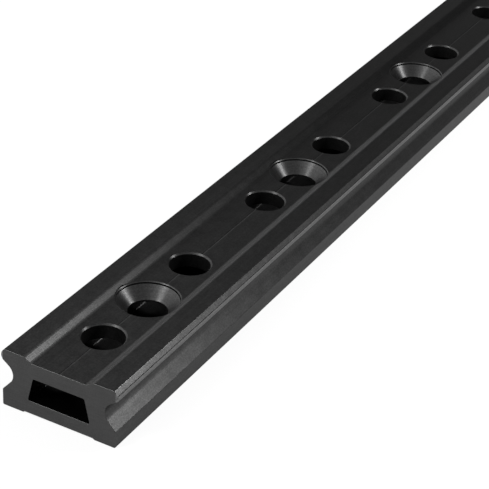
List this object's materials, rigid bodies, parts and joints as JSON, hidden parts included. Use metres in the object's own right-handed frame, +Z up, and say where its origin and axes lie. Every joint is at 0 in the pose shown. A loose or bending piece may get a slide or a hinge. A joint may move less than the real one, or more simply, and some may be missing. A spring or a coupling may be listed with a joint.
{
  "type": "traveller track extrusion",
  "caption": "Straight hollow aluminium track with a ball race down each side, countersunk bolt holes and plain stop holes along a recessed channel; a car rolls along it.",
  "frame": {"origin": "on the centre line, halfway along the length, on the plane that the foot rests on", "axes": "+X across the track, +Y along it, +Z up out of the channel"},
  "size_m": [0.0412, 0.997, 0.0198],
  "materials": {
    "anodised_aluminium": "black anodised, satin"
  },
  "bodies": {
    "root": {"track_extrusion": "anodised_aluminium"}
  },
  "joints": []
}
